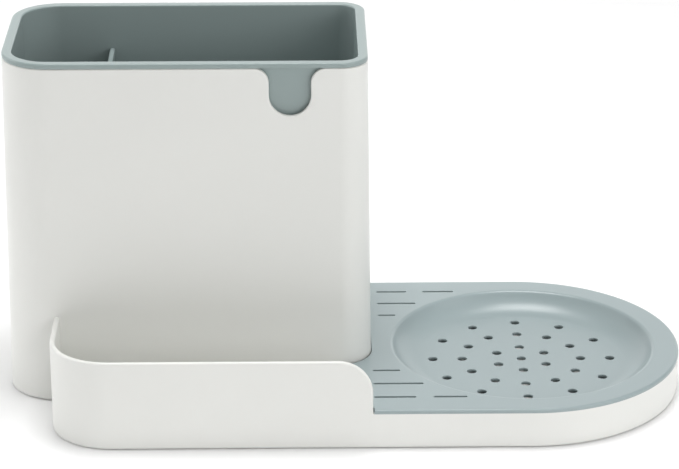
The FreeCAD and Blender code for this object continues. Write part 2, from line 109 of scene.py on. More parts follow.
class BaseSizes(bpy.types.PropertyGroup):
    """The pan, its low wall and the sponge bay."""

    wall: length("Wall", 2.2 * MM, "Thickness of the low wall and the bay's wall")
    floor: length("Floor", 2.4 * MM, "Thickness of the floor")
    low_wall: length("Low wall", 15.5 * MM, "Height of the low wall's top above the counter")
    bay_wall: length("Bay wall", 38.7 * MM, "Height of the bay wall's top above the counter")
    bay_inset: length("Bay inset", 21.0 * MM, "From the sleeve's left foot to the bay's left face")
    bay_corner: length("Bay corner", 25.0 * MM, "Radius of the bay's front left corner")
    step_inset: length("Step inset", 0.8 * MM, "From the sleeve's right foot to the end of the bay's wall")
    step_radius: length("Step radius", 14.2 * MM, "Radius where the bay's wall steps down")
    bottom_edge: length("Bottom edge", 1.0 * MM, "Radius round the underside")
    wall_edge: length("Wall edge", 0.95 * MM, "Radius along the top of the bay's wall")
    low_edge: length("Low edge", 0.3 * MM, "Radius along the top of the low wall")
    rest: length("Rest", 1.6 * MM, "Thickness of the ribs that carry the tray")
    rest_reach: length("Rest reach", 5.0 * MM, "How far the ribs stand out from the wall")
    recess_gap: length("Recess gap", 0.1 * MM, "Room round each foot in its recess")


class LinerSizes(bpy.types.PropertyGroup):
    """The lift-out bin and its divider."""

    gap: length("Gap", 0.4 * MM, "Room between the liner and the sleeve at the top")
    wall: length("Wall", 1.7 * MM, "Thickness of the liner's wall")
    floor: length("Floor", 1.8 * MM, "Thickness of the liner's floor")
    draft: length("Draft", 1.5 * MM, "How far the wall leans in from rim to floor")
    rim: length("Rim", 2.2 * MM, "Height of the rim")
    rim_edge: length("Rim edge", 0.7 * MM, "Radius along the rim's upper edges")
    rim_foot: length("Rim foot", 0.4 * MM, "Radius along the rim's lower edge")
    bottom_edge: length("Bottom edge", 3.0 * MM, "Radius round the underside")
    floor_edge: length("Floor edge", 1.6 * MM, "Radius where the wall meets the floor inside")
    drain: length("Drain", 5.0 * MM, "Diameter of the drain holes")
    guide: length("Guide", 1.4 * MM, "Thickness of the divider's guide ribs")
    guide_reach: length("Guide reach", 2.0 * MM, "How far the guide ribs stand out from the wall")
    guide_drop: length("Guide drop", 12.0 * MM, "How far the guide ribs stop below the divider's top")
    divider_gap: length("Divider gap", 0.3 * MM, "Room round the divider in its guides")
    divider_edge: length("Divider edge", 0.6 * MM, "Radius along the divider's top")
    divider_side: length("Divider side", 0.2 * MM, "Radius along the divider's other edges")


class TraySizes(bpy.types.PropertyGroup):
    """The drip tray with its dish."""

    gauge: length("Gauge", 1.75 * MM, "Thickness of the tray")
    gap: length("Gap", 0.5 * MM, "Room between the tray and the bay's wall")
    sleeve_gap: length("Sleeve gap", 0.1 * MM, "Room beside the sleeve's foot")
    sleeve_front_gap: length("Front gap", 2.6 * MM, "Room in front of the sleeve's foot")
    sleeve_room: length("Sleeve room", 15.0 * MM, "Radius of the plate's corner round the sleeve's foot")
    edge: length("Edge", 1.0 * MM, "Radius along the tray's upper edge")
    skirt: length("Skirt", 1.4 * MM, "Thickness of the skirt below the tray")
    skirt_depth: length("Skirt depth", 3.5 * MM, "Depth of the skirt below the tray")
    dish_radius: length("Dish radius", 56.8 * MM, "Radius of the dish at its brim")
    dish_depth: length("Dish depth", 7.7 * MM, "Depth of the dish")
    dish_slope: FloatProperty(name="Dish slope", description="Steepness of the slope below the brim",
                              default=math.radians(56), subtype="ANGLE")
    slope_length: length("Slope length", 1.0 * MM, "Straight part of the slope between brim and bend")
    under_brim: length("Under brim", 0.35 * MM, "Radius of the brim on the underside")
    hole: length("Hole", 4.0 * MM, "Diameter of the drain holes")
    hole_edge: length("Hole edge", 0.25 * MM, "Radius round the drain holes")
    relief: length("Relief", 0.95 * MM, "How deep the drain holes are widened from below")
    relief_hole: length("Relief hole", 5.6 * MM, "Diameter of the widened part of the drain holes")
    inner_ring: length("Inner ring", 11.7 * MM, "Radius of the inner ring of holes")
    middle_ring: length("Middle ring", 25.4 * MM, "Radius of the middle ring of holes")
    outer_ring: length("Outer ring", 38.0 * MM, "Radius of the outer ring of holes")
    slot: length("Slot", 1.5 * MM, "Width of the drain slots")
    slot_edge: length("Slot edge", 0.18 * MM, "Radius along the drain slots")
    slot_row: length("First row", 28.7 * MM, "From the middle to the first row of slots")
    slot_step: length("Row step", 12.95 * MM, "Between the rows of slots")
    slot_shift: length("Row shift", 0.6 * MM, "How far all the rows lie to the back")
    slot_gap: length("Slot gap", 7.0 * MM, "Between the slots of a row")
    back_start: length("Back start", 3.6 * MM, "From the sleeve to the start of the back rows")
    front_start: length("Front start", 0.6 * MM, "From the step to the start of the front rows")
    first_stop: length("First stop", 11.5 * MM, "From the sleeve to the end of the first row")
    middle_stop: length("Middle stop", 20.8 * MM, "From the sleeve to the end of the middle row")
    last_stop: length("Last stop", 17.2 * MM, "From the sleeve to the end of the outermost row's first slot")
    last_slot: length("Last slot", 14.0 * MM, "Length of the outermost row's second slot")


class FootSizes(bpy.types.PropertyGroup):
    """The soft feet."""

    edge: length("Edge", 0.4 * MM, "Radius round the foot's lower edge")
    dimple: length("Dimple", 0.25 * MM, "Depth of the hollow in the foot's underside")
    dimple_side: length("Dimple side", 0.5 * MM, "Width of the hollow's sloping side")
    land: length("Land", 1.6 * MM, "Width of the ring that the foot stands on")


class Finishes(bpy.types.PropertyGroup):
    """The plastics and the rubber."""

    white: colour("White", (0.796, 0.799, 0.769), "Plastic of the body")
    liner: colour("Liner", (0.298, 0.362, 0.357), "Plastic of the liner and the divider")
    tray: colour("Tray", (0.326, 0.391, 0.400), "Plastic of the drip tray")
    rubber: colour("Rubber", (0.20, 0.21, 0.21), "Rubber of the feet")
    white_roughness: share("White roughness", 0.33, "Roughness of the body's satin plastic")
    liner_roughness: share("Liner roughness", 0.30, "Roughness of the liner's plastic")
    tray_roughness: share("Tray roughness", 0.32, "Roughness of the tray's plastic")
    rubber_roughness: share("Rubber roughness", 0.75, "Roughness of the rubber")


class StageSettings(bpy.types.PropertyGroup):
    """Camera, lights and floor."""

    camera: FloatVectorProperty(name="Camera", description="Where the camera stands", size=3, subtype="XYZ",
                                unit="LENGTH", default=(-0.0184, -1.06422, 0.49724))
    pitch: FloatProperty(name="Pitch", description="How far the camera looks down", subtype="ANGLE",
                         default=math.radians(21.995))
    yaw: FloatProperty(name="Yaw", description="How far the camera turns to the right", subtype="ANGLE",
                       default=math.radians(0.877))
    lens: FloatProperty(name="Lens", description="Focal length in millimetres", default=144.54, unit="CAMERA")
    floor: colour("Floor", (0.97, 0.97, 0.97), "Colour of the floor")
    ambient: FloatProperty(name="Ambient", description="Strength of the even light of the room", default=0.16,
                           min=0.0)


class CaddySettings(bpy.types.PropertyGroup):
    """Everything that the sidebar shows."""

    sleeve: PointerProperty(type=SleeveSizes, name="Sleeve", description="The tall part of the body")
    base: PointerProperty(type=BaseSizes, name="Base", description="The pan and the sponge bay")
    liner: PointerProperty(type=LinerSizes, name="Liner", description="The lift-out bin and its divider")
    tray: PointerProperty(type=TraySizes, name="Tray", description="The drip tray with its dish")
    foot: PointerProperty(type=FootSizes, name="Foot", description="The soft feet")
    finish: PointerProperty(type=Finishes, name="Finishes", description="The plastics and the rubber")
    stage: PointerProperty(type=StageSettings, name="Stage", description="Camera, lights and floor")


def sizes():
    """The settings that the sidebar shows."""
    return bpy.context.scene.sink_caddy


# Modelling by operators. Each works on one piece, selects what it needs by place and leaves the rest alone.


def leave_all():
    """Leaves edit mode and deselects everything, so that the next primitive starts a new object."""
    if bpy.context.object is not None and bpy.context.object.mode != "OBJECT":
        bpy.ops.object.mode_set(mode="OBJECT")
    bpy.ops.object.select_all(action="DESELECT")


def activate(piece, mode):
    """Makes the piece the only selected object and puts it in that mode."""
    leave_all()
    piece.select_set(True)
    bpy.context.view_layer.objects.active = piece
    bpy.ops.object.mode_set(mode=mode)


def pick(kind, test):
    """Selects the visible vertices, edges or faces in edit mode that pass a test, and counts them."""
    bpy.ops.mesh.select_mode(type=kind)
    bpy.ops.mesh.select_all(action="DESELECT")
    mesh = bpy.context.edit_object.data
    grid = bmesh.from_edit_mesh(mesh)
    items = {"VERT": grid.verts, "EDGE": grid.edges, "FACE": grid.faces}[kind]
    found = [item for item in items if not item.hide and test(item)]
    for item in found:
        item.select_set(True)
    grid.select_flush_mode()
    bmesh.update_edit_mesh(mesh)
    return len(found)


def flat(level):
    """Puts a drawing's two coordinates in the horizontal plane at a level."""
    return lambda u, v: Vector((u, v, level))


def upright_y(y):
    """Puts a drawing's two coordinates in the plane across Y, as X and Z."""
    return lambda u, v: Vector((u, y, v))


def upright_x(x):
    """Puts a drawing's two coordinates in the plane across X, as Y and Z."""
    return lambda u, v: Vector((x, u, v))


def draw_outline(corners, plane, segments):
    """Draws a closed outline in edit mode, hides what was there, and rounds each corner that has a radius.

    A corner is (u, v, radius). The radius is also how far the rounding reaches along both edges."""
    bpy.ops.mesh.select_all(action="SELECT")
    bpy.ops.mesh.hide(unselected=False)
    bpy.ops.mesh.primitive_circle_add(vertices=len(corners), fill_type="NOTHING")
    mesh = bpy.context.edit_object.data
    grid = bmesh.from_edit_mesh(mesh)
    fresh = [vertex for vertex in grid.verts if not vertex.hide]
    fresh.sort(key=lambda vertex: math.atan2(vertex.co.y, vertex.co.x))
    for vertex, (u, v, _) in zip(fresh, corners):
        vertex.co = plane(u, v)
    bmesh.update_edit_mesh(mesh)
    for u, v, radius in corners:
        if radius > 0:
            corner = plane(u, v)
            pick("VERT", lambda vertex: (vertex.co - corner).length < TOUCH)
            bpy.ops.mesh.bevel(offset=radius, offset_type="OFFSET", segments=segments, profile=0.5,
                               affect="VERTICES", clamp_overlap=False)
    bpy.ops.mesh.select_all(action="SELECT")
    bpy.ops.mesh.remove_doubles(threshold=MERGE)


def new_piece(name):
    """An empty mesh piece in edit mode."""
    leave_all()
    bpy.ops.mesh.primitive_plane_add()
    piece = bpy.context.object
    piece.name = name
    piece.data.name = name
    activate(piece, "EDIT")
    bpy.ops.mesh.select_all(action="SELECT")
    bpy.ops.mesh.delete(type="VERT")
    return piece


def add_ring(piece, number, draw):
    """Draws one more outline and remembers its vertices as a group."""
    draw()
    bpy.ops.mesh.select_all(action="SELECT")
    piece.vertex_groups.new(name=f"ring_{number}")
    piece.vertex_groups.active_index = number
    bpy.ops.object.vertex_group_assign()


def pick_rings(piece, *numbers):
    """Selects the outlines that were remembered under these numbers."""
    bpy.ops.mesh.select_mode(type="VERT")
    bpy.ops.mesh.select_all(action="DESELECT")
    for number in numbers:
        piece.vertex_groups.active_index = number
        bpy.ops.object.vertex_group_select()


def join_rings(piece, draws, cap_first=True, cap_last=True):
    """Draws outlines one after the other, bridges each to the next and closes the ends."""
    for number, draw in enumerate(draws):
        add_ring(piece, number, draw)
    bpy.ops.mesh.reveal(select=False)
    for number in range(len(draws) - 1):
        pick_rings(piece, number, number + 1)
        bpy.ops.mesh.bridge_edge_loops()
    for number, wanted in ((0, cap_first), (len(draws) - 1, cap_last)):
        if wanted:
            pick_rings(piece, number)
            bpy.ops.mesh.edge_face_add()
    piece.vertex_groups.clear()
    bpy.ops.mesh.select_all(action="SELECT")
    bpy.ops.mesh.normals_make_consistent(inside=False)


def loft(name, rings, segments):
    """A closed solid through horizontal outlines, each given as its corners and its level."""
    piece = new_piece(name)
    join_rings(piece, [lambda c=corners, z=level: draw_outline(c, flat(z), segments)
                       for corners, level in rings])
    return piece


def prism(name, corners, plane, along, segments=1):
    """A closed solid: an outline in a plane, filled and extruded."""
    piece = new_piece(name)
    draw_outline(corners, plane, segments)
    bpy.ops.mesh.edge_face_add()
    bpy.ops.mesh.extrude_region_move(TRANSFORM_OT_translate={"value": along})
    bpy.ops.mesh.select_all(action="SELECT")
    bpy.ops.mesh.normals_make_consistent(inside=False)
    return piece


def upright_prism(name, corners, low, high, segments=1):
    """A closed solid between two levels."""
    return prism(name, corners, flat(low), (0, 0, high - low), segments)


def gather(name, pieces):
    """Joins pieces that don't touch each other into one object."""
    leave_all()
    for piece in pieces:
        piece.select_set(True)
    bpy.context.view_layer.objects.active = pieces[0]
    bpy.ops.object.join()
    pieces[0].name = name
    return pieces[0]


def repeat(piece, places):
    """Copies a piece from the first of some places to the others. Each copy has a mesh of its own."""
    pieces = [piece]
    for spot in places[1:]:
        activate(piece, "OBJECT")
        bpy.ops.object.duplicate_move(OBJECT_OT_duplicate={"linked": False},
                                      TRANSFORM_OT_translate={"value": spot - places[0]})
        bpy.ops.object.transform_apply(location=True, rotation=True, scale=True)
        pieces.append(bpy.context.object)
    return pieces


def combine(piece, tool, operation):
    """Adds the tool's solid to the piece or takes it away, and drops the tool."""
    activate(piece, "OBJECT")
    bpy.ops.object.modifier_add(type="BOOLEAN")
    change = piece.modifiers[-1]
    change.operation = operation
    change.solver = "EXACT"
    change.object = tool
    bpy.ops.object.modifier_apply(modifier=change.name)
    bpy.data.objects.remove(tool, do_unlink=True)


def clean(piece):
    """Merges doubles and dissolves the edges that cross flat faces."""
    activate(piece, "EDIT")
    bpy.ops.mesh.select_all(action="SELECT")
    bpy.ops.mesh.remove_doubles(threshold=MERGE)
    bpy.ops.mesh.dissolve_degenerate(threshold=MERGE)
    bpy.ops.mesh.dissolve_limited(angle_limit=FLAT_ANGLE)


def soften(piece, radius, segments, chosen):
    """Rounds the sharp edges that a test chooses."""
    activate(piece, "EDIT")
    count = pick("EDGE", lambda edge: is_sharp(edge) and chosen(edge))
    if count == 0:
        raise RuntimeError(f"no edge of {piece.name} is there to soften")
    bpy.ops.mesh.bevel(offset=radius, offset_type="OFFSET", segments=segments, profile=0.5, affect="EDGES",
                       clamp_overlap=True, miter_outer="ARC")


def is_sharp(edge):
    """Whether two faces meet at the edge in a clear angle."""
    return len(edge.link_faces) == 2 and edge.calc_face_angle() > SHARP_ANGLE


def at_level(item, level):
    """Whether an edge or a face lies flat at a level."""
    return all(abs(vertex.co.z - level) < TOUCH for vertex in item.verts)


def middle_of(edge):
    return (edge.verts[0].co + edge.verts[1].co) / 2


def dress(piece, node, body, material):
    """Finishes a piece: smooth shading, even normals, its material, and what it stands for and rides on."""
    activate(piece, "OBJECT")
    bpy.ops.object.shade_smooth_by_angle(angle=SMOOTH_ANGLE)
    bpy.ops.object.modifier_add(type="WEIGHTED_NORMAL")
    evened = piece.modifiers[-1]
    evened.keep_sharp = True
    evened.weight = NORMAL_WEIGHT
    bpy.ops.object.modifier_apply(modifier=evened.name)
    piece.data.materials.clear()
    piece.data.materials.append(material)
    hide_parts(node)
    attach(piece, body)


# Where things are, in metres, from the solids' own boxes


def foot_line(side):
    """The sleeve's outer faces at its foot."""
    draft = sizes().sleeve.draft
    return {
        "left": LINER_LOW.x - draft,
        "right": LINER_HIGH.x + draft,
        "front": LINER_LOW.y - draft,
        "back": LINER_HIGH.y,
    }[side]


def sleeve_corners(inset, rise):
    """The sleeve's outline, inset from its outer face, where rise is 0 at its foot and 1 at its top."""
    sleeve = sizes().sleeve
    lean = sleeve.draft * rise
    left_radius = sleeve.left_radius + sleeve.draft * (1 - rise) - inset
    right_radius = sleeve.right_radius + sleeve.draft * (1 - rise) - inset
    left = foot_line("left") + lean + inset
    right = foot_line("right") - lean - inset
    front = foot_line("front") + lean + inset
    back = foot_line("back") - inset
    return [
        (left, front, left_radius),
        (right, front, right_radius),
        (right, back, right_radius),
        (left, back, left_radius),
    ]


def end_radius():
    """The radius of the base's round end."""
    return BODY_HIGH.y


def dish_x():
    """Where the middle of the round end and of the dish lies."""
    return BODY_HIGH.x - end_radius()


def end_corners(left, inset):
    """The round end of the base, from a straight left side."""
    radius = end_radius() - inset
    right = dish_x() + radius
    return [(left, -radius, 0), (right, -radius, radius), (right, radius, radius), (left, radius, 0)]


def bay_left():
    """The left face of the sponge bay."""
    return foot_line("left") + sizes().base.bay_inset


def bay_corners(right, back, inset):
    """The sponge bay with its round front left corner."""
    front = BODY_LOW.y + inset
    return [
        (bay_left() + inset, front, sizes().base.bay_corner - inset),
        (right, front, 0),
        (right, back, 0),
        (bay_left() + inset, back, 0),
    ]


def box_corners(x_low, x_high, y_low, y_high, radius=0):
    """A rectangle, with equal corners."""
    return [
        (x_low, y_low, radius),
        (x_high, y_low, radius),
        (x_high, y_high, radius),
        (x_low, y_high, radius),
    ]


def step_x():
    """Where the bay's wall steps down to the low wall."""
    return foot_line("right") - sizes().base.step_inset


def floor_top():
    """The level of the pan's floor."""
    return BODY_LOW.z + sizes().base.floor


def foot_centres():
    """The middle of each foot, in the order of their names."""
    return [sum(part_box(name), Vector()) / 2 for name in FEET]


def foot_radius():
    """The radius that all the feet have."""
    low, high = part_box(FEET[0])
    return (high.x - low.x) / 2


def disc(name, centre, radius, low, high, vertices):
    """An upright cylinder between two levels, for a cutter or a foot."""
    leave_all()
    bpy.ops.mesh.primitive_cylinder_add(vertices=vertices, radius=radius, depth=high - low,
                                        location=(centre.x, centre.y, (low + high) / 2))
    piece = bpy.context.object
    piece.name = name
    bpy.ops.object.transform_apply(location=True, rotation=True, scale=True)
    return piece


# The body

END_SEGMENTS = 56
CORNER_SEGMENTS = 14
STEP_SEGMENTS = 14
NOTCH_SEGMENTS = 12
RECESS_VERTICES = 48


def model_base():
    """The pan and the sponge bay, hollowed."""
    base = sizes().base
    end_left = foot_line("right") - sizes().sleeve.right_radius - sizes().sleeve.draft
    inside_sleeve = foot_line("front") + sizes().sleeve.wall * 2
    top = base.bay_wall + OVERSHOOT
    piece = upright_prism("body", end_corners(end_left, 0), BODY_LOW.z, base.low_wall, END_SEGMENTS)
    bay = upright_prism("bay", bay_corners(step_x(), inside_sleeve, 0), BODY_LOW.z, base.bay_wall,
                        CORNER_SEGMENTS)
    soften(bay, base.step_radius, STEP_SEGMENTS,
           lambda e: at_level(e, base.bay_wall) and abs(middle_of(e).x - step_x()) < TOUCH)
    combine(piece, bay, "UNION")
    pan = upright_prism("pan", end_corners(end_left, base.wall), floor_top(), top, END_SEGMENTS)
    combine(piece, pan, "DIFFERENCE")
    hollow = bay_corners(foot_line("right"), inside_sleeve, base.wall)
    combine(piece, upright_prism("hollow", hollow, floor_top(), top, CORNER_SEGMENTS), "DIFFERENCE")
    return piece


def rest_boxes():
    """The ribs that carry the tray behind the step and beside the sleeve."""
    base = sizes().base
    half = base.rest / 2
    sunk = sizes().sleeve.wall / 2
    front = BODY_LOW.y
    sleeve_front = foot_line("front")
    under_tray = sleeve_front - sizes().tray.sleeve_front_gap - base.rest_reach
    x = TRAY_LOW.x + base.rest
    return [
        (foot_line("right") - sunk, foot_line("right") + base.rest_reach, -half, half),
        (x - half, x + half, front + base.wall / 2, front + base.wall + base.rest_reach),
        (x - half, x + half, under_tray, sleeve_front + sunk),
    ]


def notch_tool():
    """The finger notch: straight sides, a half round foot and flared upper corners."""
    sleeve = sizes().sleeve
    half = sleeve.notch_width / 2
    flare = sleeve.notch_flare
    middle = foot_line("right") - sleeve.notch_inset
    top = BODY_HIGH.z
    bottom = top - sleeve.notch_depth
    above = top + OVERSHOOT
    crest = top + sleeve.notch_crest
    corners = [
        (middle - half - flare, above, 0),
        (middle - half - flare, crest, 0),
        (middle - half, crest, flare),
        (middle - half, bottom, half),
        (middle + half, bottom, half),
        (middle + half, crest, flare),
        (middle + half + flare, crest, 0),
        (middle + half + flare, above, 0),
    ]
    start = foot_line("front") - OVERSHOOT
    depth = OVERSHOOT + sleeve.draft + sleeve.wall * 2
    return prism("notch", corners, upright_y(start), (0, depth, 0), NOTCH_SEGMENTS)


def model_body():
    """The white moulding in one piece."""
    base = sizes().base
    sleeve = sizes().sleeve
    piece = model_base()
    rise = OVERSHOOT / (BODY_HIGH.z - BODY_LOW.z)
    tower = loft("tower", [
        (sleeve_corners(0, 0), BODY_LOW.z),
        (sleeve_corners(0, 1), BODY_HIGH.z),
    ], CORNER_SEGMENTS)
    combine(piece, tower, "UNION")
    room = loft("room", [
        (sleeve_corners(sleeve.wall, 0), floor_top()),
        (sleeve_corners(sleeve.wall, 1 + rise), BODY_HIGH.z + OVERSHOOT),
    ], CORNER_SEGMENTS)
    combine(piece, room, "DIFFERENCE")
    sunk = base.floor / 2
    rests = [upright_prism("rest", box_corners(*box), floor_top() - sunk, base.low_wall)
             for box in rest_boxes()]
    combine(piece, gather("rests", rests), "UNION")
    combine(piece, notch_tool(), "DIFFERENCE")
    low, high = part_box(FEET[0])
    centres = foot_centres()
    recess = disc("recess", centres[0], foot_radius() + base.recess_gap, low.z - BODY_LOW.z, high.z,
                  RECESS_VERTICES)
    combine(piece, gather("recesses", repeat(recess, centres)), "DIFFERENCE")
    clean(piece)
    soften_body(piece)
    return piece


def soften_body(piece):
    """Rounds the body's edges: underside, bay wall with its step, sleeve top and notch, low wall."""
    base = sizes().base
    sleeve = sizes().sleeve
    centres = foot_centres()
    recess = foot_radius() + base.wall

    def round_the_underside(edge):
        middle = middle_of(edge)
        clear = all((middle.xy - centre.xy).length > recess for centre in centres)
        return at_level(edge, BODY_LOW.z) and clear

    def on_the_bay_wall(edge):
        above = min(vertex.co.z for vertex in edge.verts) > base.low_wall - TOUCH
        between = base.low_wall + TOUCH < middle_of(edge).z < base.bay_wall + TOUCH
        return edge.is_convex and above and between

    def on_the_sleeve_top(edge):
        return edge.is_convex and middle_of(edge).z > BODY_HIGH.z - sleeve.notch_depth - base.wall

    def on_the_low_wall(edge):
        return edge.is_convex and at_level(edge, base.low_wall)

    soften(piece, base.bottom_edge, MEDIUM, round_the_underside)
    soften(piece, base.wall_edge, MEDIUM, on_the_bay_wall)
    soften(piece, sleeve.edge, NARROW, on_the_sleeve_top)
    soften(piece, base.low_edge, FINE, on_the_low_wall)


# The liner and its divider

DRAIN_COLUMNS, DRAIN_ROWS = 4, 2
DRAIN_VERTICES = 32


def liner_inset(rise):
    """How far the liner's outer face stands in from the sleeve's outline, where rise is 1 at the rim."""
    liner = sizes().liner
    return sizes().sleeve.wall + liner.gap + liner.draft * (1 - rise)


def inner_inset(level):
    """How far the liner's inner face stands in from the sleeve's outline at a level."""
    liner = sizes().liner
    floor = LINER_LOW.z + liner.floor
    share_below = (LINER_HIGH.z - level) / (LINER_HIGH.z - floor)
    return sizes().sleeve.wall + liner.gap + liner.wall + liner.draft * share_below


def guide_prism(x, wall_sign):
    """One guide rib on the front or the back wall, leaning with it."""
    liner = sizes().liner
    line = LINER_LOW.y if wall_sign > 0 else LINER_HIGH.y
    sunk = liner.floor / 4
    low = LINER_LOW.z + liner.floor - sunk
    high = DIVIDER_HIGH.z - liner.guide_drop
    corners = []
    for depth, levels in ((-liner.wall / 2, (low, high)), (liner.guide_reach, (high, low))):
        for level in levels:
            corners.append((line + (inner_inset(level) + depth) * wall_sign, level, 0))
    return prism("guide", corners, upright_x(x - liner.guide / 2), (liner.guide, 0, 0))


def model_liner():
    """The bin that hangs in the sleeve by its rim."""
    liner = sizes().liner
    shoulder = LINER_HIGH.z - liner.rim
    floor = LINER_LOW.z + liner.floor
    inside_rim = shoulder + liner.rim / 2
    piece = loft("liner_bin", [
        (sleeve_corners(liner_inset(0), 1), LINER_LOW.z),
        (sleeve_corners(liner_inset(1), 1), inside_rim),
    ], CORNER_SEGMENTS)
    rim = upright_prism("rim", sleeve_corners(0, 1), shoulder, LINER_HIGH.z, CORNER_SEGMENTS)
    combine(piece, rim, "UNION")
    above = LINER_HIGH.z + OVERSHOOT
    room = loft("room", [
        (sleeve_corners(inner_inset(floor), 1), floor),
        (sleeve_corners(inner_inset(above), 1), above),
    ], CORNER_SEGMENTS)
    combine(piece, room, "DIFFERENCE")
    clean(piece)
    soften(piece, liner.bottom_edge, BROAD, lambda e: at_level(e, LINER_LOW.z))
    soften(piece, liner.floor_edge, MEDIUM, lambda e: at_level(e, floor))
    soften(piece, liner.rim_edge, BROAD, lambda e: at_level(e, LINER_HIGH.z))
    soften(piece, liner.rim_foot, FINE, lambda e: at_level(e, shoulder) and e.is_convex)

    middle = (DIVIDER_LOW.x + DIVIDER_HIGH.x) / 2
    shift = (DIVIDER_HIGH.x - DIVIDER_LOW.x + liner.guide) / 2 + liner.divider_gap
    guides = [guide_prism(middle + side * shift, sign) for side in (-1, 1) for sign in (1, -1)]
    combine(piece, gather("guides", guides), "UNION")
    room_right = LINER_HIGH.x - inner_inset(LINER_HIGH.z)
    front = LINER_LOW.y + inner_inset(LINER_HIGH.z)
    back = LINER_HIGH.y - inner_inset(LINER_HIGH.z)
    centres = []
    for column in range(DRAIN_COLUMNS):
        for row in range(DRAIN_ROWS):
            x = middle + (room_right - middle) * (column + 0.5) / DRAIN_COLUMNS
            y = front + (back - front) * (row + 0.5) / DRAIN_ROWS
            centres.append(Vector((x, y, 0)))
    drain = disc("drain", centres[0], liner.drain / 2, LINER_LOW.z - OVERSHOOT, floor + OVERSHOOT,
                 DRAIN_VERTICES)
    combine(piece, gather("drains", repeat(drain, centres)), "DIFFERENCE")
    return piece


def model_divider():
    """The loose panel between the two compartments."""
    liner = sizes().liner
    corners = []
    for sign, line, levels in ((1, LINER_LOW.y, (DIVIDER_HIGH.z, DIVIDER_LOW.z)),
                               (-1, LINER_HIGH.y, (DIVIDER_LOW.z, DIVIDER_HIGH.z))):
        for level in levels:
            corners.append((line + (inner_inset(level) + liner.divider_gap) * sign, level, 0))
    thickness = DIVIDER_HIGH.x - DIVIDER_LOW.x
    piece = prism("divider_panel", corners, upright_x(DIVIDER_LOW.x), (thickness, 0, 0))
    soften(piece, liner.divider_edge, MEDIUM, lambda e: at_level(e, DIVIDER_HIGH.z))
    soften(piece, liner.divider_side, FINE, lambda e: not at_level(e, DIVIDER_HIGH.z))
    return piece


# The drip tray

DISH_VERTICES = 144
BRIM_STEPS = 6
BEND_STEPS = 14
PLATE_SEGMENTS = 48
SLOT_SEGMENTS = 6
SLOT_REACH = 5.0 * MM
HOLE_VERTICES = 28
INNER_HOLES = 6
OUTER_HOLES = 12


def plate_corners():
    """The plate's outline: flush with the low wall, a tongue behind the step, round the sleeve's foot."""
    tray = sizes().tray
    inset = sizes().base.wall + tray.gap
    radius = end_radius()
    right = BODY_HIGH.x
    side = foot_line("right") + tray.sleeve_gap
    tongue_end = TRAY_LOW.x
    tongue_front = -radius + inset

    sleeve_radius = sizes().sleeve.right_radius + sizes().sleeve.draft
    around = sleeve_radius + tray.sleeve_gap
    back_y = foot_line("back") - sleeve_radius
    rise = sleeve_radius - inset
    run = math.sqrt(around ** 2 - rise ** 2)
    tip_x = side - around + run
    back_reach = around * math.tan(math.atan2(rise, run) / 2)

    room = tray.sleeve_room
    front_y = foot_line("front") - tray.sleeve_front_gap + room
    across = tongue_end - side + room
    down = math.sqrt(room ** 2 - across ** 2)
    front_reach = room * math.tan(math.atan2(down, across) / 2)
    return [
        (tongue_end, tongue_front, 0),
        (step_x() + tray.gap, tongue_front, 0),
        (step_x() + tray.gap, -radius, 0),
        (right, -radius, radius),
        (right, radius, radius),
        (tip_x, radius, 0),
        (tip_x, back_y + rise, 0),
        (side, back_y + back_reach, back_reach),
        (side, front_y - front_reach, front_reach),
        (tongue_end, front_y - down, 0),
    ]


def on_the_end(place):
    """Whether a point lies on the tray end's outline, flush with the low wall."""
    return math.hypot(max(place.x - dish_x(), 0), place.y) > end_radius() - TOUCH


def dish_section():
    """Radius and level of each ring of the dish, from the brim down to its floor."""
    tray = sizes().tray
    top = TRAY_HIGH.z
    floor = top - tray.dish_depth
    slope = tray.dish_slope
    brim = tray.gauge + tray.under_brim
    curve = (tray.dish_depth - tray.slope_length * math.sin(slope)) / (1 - math.cos(slope))
    bend = curve - brim
    flat_radius = tray.dish_radius - curve * math.sin(slope) - tray.slope_length * math.cos(slope)
    rings = []
    for step in range(BRIM_STEPS + 1):
        turn = slope * step / BRIM_STEPS
        rings.append((tray.dish_radius - brim * math.sin(turn), top - brim * (1 - math.cos(turn))))
    for step in range(BEND_STEPS + 1):
        turn = slope * (1 - step / BEND_STEPS)
        rings.append((flat_radius + bend * math.sin(turn), floor + bend * (1 - math.cos(turn))))
    return rings


def draw_circle(radius, level):
    """Draws one ring of the dish in edit mode and hides what was there."""
    bpy.ops.mesh.select_all(action="SELECT")
    bpy.ops.mesh.hide(unselected=False)
    bpy.ops.mesh.primitive_circle_add(vertices=DISH_VERTICES, radius=radius, fill_type="NOTHING",
                                      location=(dish_x(), 0, level))


def slot_spans():
    """Every drain slot as its start, its end and its row."""
    tray = sizes().tray
    side = foot_line("right")
    last = tray.slot_row + tray.slot_step * 2
    stops = {
        tray.slot_row: side + tray.first_stop,
        tray.slot_row + tray.slot_step: side + tray.middle_stop,
        last: side + tray.last_stop,
    }
    second = side + tray.last_stop + tray.slot_gap
    spans = []
    for sign, start in ((1, side + tray.back_start), (-1, step_x() + tray.front_start)):
        for row, stop in stops.items():
            spans.append((start, stop, row * sign + tray.slot_shift))
        spans.append((second, second + tray.last_slot, last * sign + tray.slot_shift))
    return spans


def drain_centres():
    """The middle of every drain hole in the dish."""
    tray = sizes().tray
    centres = [Vector((dish_x(), 0, 0))]
    rings = (
        (tray.inner_ring, INNER_HOLES, math.pi / 2),
        (tray.middle_ring, OUTER_HOLES, 0),
        (tray.outer_ring, OUTER_HOLES, 0),
    )
    for radius, count, first in rings:
        for number in range(count):
            turn = first + math.tau * number / count
            centres.append(Vector((dish_x() + radius * math.cos(turn), radius * math.sin(turn), 0)))
    return centres


